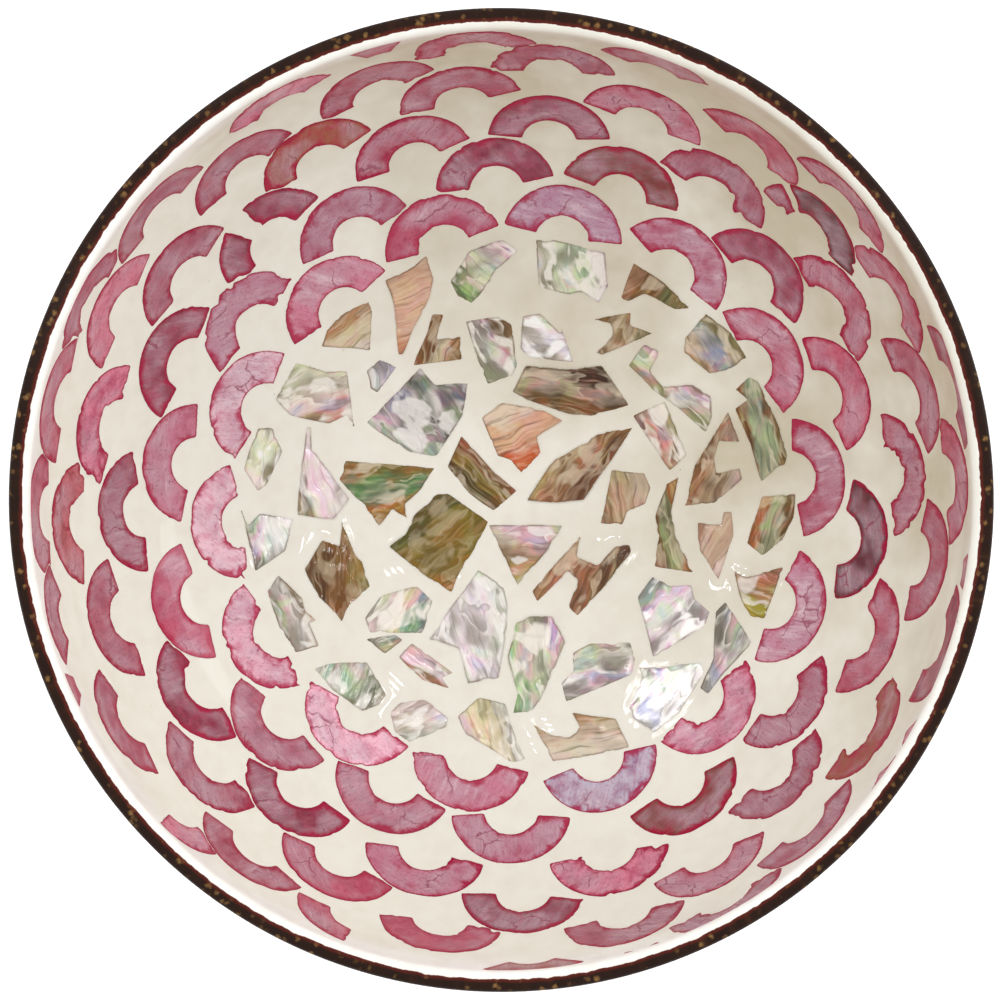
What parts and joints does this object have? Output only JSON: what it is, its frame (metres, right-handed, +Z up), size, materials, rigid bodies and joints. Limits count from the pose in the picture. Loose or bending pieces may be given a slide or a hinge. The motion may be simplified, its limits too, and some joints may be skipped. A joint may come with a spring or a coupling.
{
  "type": "bowl",
  "caption": "Round coconut shell bowl lined with fish-scale rows of dyed mother-of-pearl arches and a floor of abalone fragments in cream lacquer.",
  "frame": {"origin": "centre of the flat foot on the table plane", "axes": "+Z up through the mouth, +Y towards the top of the picture, +X towards its right"},
  "size_m": [0.135, 0.135, 0.051],
  "materials": {
    "coconut": "polished and lacquered dark brown shell",
    "cream_lacquer": "cream lacquer sanded flush under a clear gloss coat",
    "dyed_pearl_pale": "pale pink dyed mother-of-pearl under a clear gloss coat",
    "dyed_pearl_rose": "rose dyed mother-of-pearl under a clear gloss coat",
    "dyed_pearl_crimson": "crimson dyed mother-of-pearl under a clear gloss coat",
    "abalone_silver": "natural abalone shell, silver, under a clear gloss coat",
    "abalone_pearl": "natural abalone shell, pearl, under a clear gloss coat",
    "abalone_white_pearl": "natural abalone shell, white pearl, under a clear gloss coat",
    "abalone_lilac": "natural abalone shell, lilac, under a clear gloss coat",
    "abalone_peach": "natural abalone shell, peach, under a clear gloss coat",
    "abalone_tan": "natural abalone shell, tan, under a clear gloss coat",
    "abalone_bronze": "natural abalone shell, bronze, under a clear gloss coat",
    "abalone_olive": "natural abalone shell, olive, under a clear gloss coat",
    "abalone_teal": "natural abalone shell, teal, under a clear gloss coat",
    "abalone_gold": "natural abalone shell, gold, under a clear gloss coat"
  },
  "bodies": {
    "root": {"coconut_shell": "coconut", "lacquer_ground": "cream_lacquer", "tile_row_1": "dyed_pearl_pale", "tile_row_2": "dyed_pearl_rose", "tile_row_3": "dyed_pearl_rose", "tile_row_4": "dyed_pearl_rose", "tile_row_5": "dyed_pearl_rose", "tile_row_6": "dyed_pearl_rose", "tile_row_7": "dyed_pearl_crimson", "abalone_peach_shard": "abalone_peach", "abalone_tan_quarter": "abalone_tan", "abalone_pale_boot": "abalone_pearl", "abalone_brown_edged_pearl": "abalone_pearl", "abalone_green_violet_pearl": "abalone_pearl", "abalone_small_lilac": "abalone_lilac", "abalone_bright_pearl": "abalone_white_pearl", "abalone_silver_shield": "abalone_silver", "abalone_white_oval": "abalone_white_pearl", "abalone_pink_spear": "abalone_lilac", "abalone_teal_gold": "abalone_teal", "abalone_large_olive": "abalone_olive", "abalone_brown_gold_stripe": "abalone_bronze", "abalone_orange_striped": "abalone_peach", "abalone_pale_square": "abalone_pearl", "abalone_brown_green_shoe": "abalone_olive", "abalone_ribbed_white": "abalone_white_pearl", "abalone_star": "abalone_bronze", "abalone_blue_kite": "abalone_silver", "abalone_curved_neck": "abalone_pearl", "abalone_brown_boat": "abalone_bronze", "abalone_bronze_leaf": "abalone_bronze", "abalone_pink_green_slant": "abalone_lilac", "abalone_brown_crescent": "abalone_bronze", "abalone_striped_bracket": "abalone_bronze", "abalone_tan_tab": "abalone_tan", "abalone_thin_stalk": "abalone_bronze", "abalone_brown_green_stripe": "abalone_teal", "abalone_pink_tan_wedge": "abalone_peach", "abalone_yellow_brown_triangle": "abalone_gold", "abalone_lilac_tan_triangle": "abalone_lilac", "abalone_wishbone": "abalone_bronze", "abalone_silver_white_shield": "abalone_white_pearl", "abalone_grey_bent_strip": "abalone_silver", "abalone_grey_rectangle": "abalone_silver", "abalone_bright_block": "abalone_white_pearl", "abalone_tan_anvil": "abalone_peach", "abalone_green_flag": "abalone_gold", "abalone_large_lilac_slab": "abalone_lilac", "abalone_pale_peach_block": "abalone_peach", "abalone_teal_sliver": "abalone_teal", "abalone_brown_point": "abalone_silver", "abalone_green_grey_shell": "abalone_silver", "abalone_pale_blob": "abalone_pearl", "abalone_yellow_spade": "abalone_gold", "abalone_gold_boomerang": "abalone_gold", "abalone_olive_flame": "abalone_olive", "abalone_silver_wedge": "abalone_silver"}
  },
  "joints": []
}
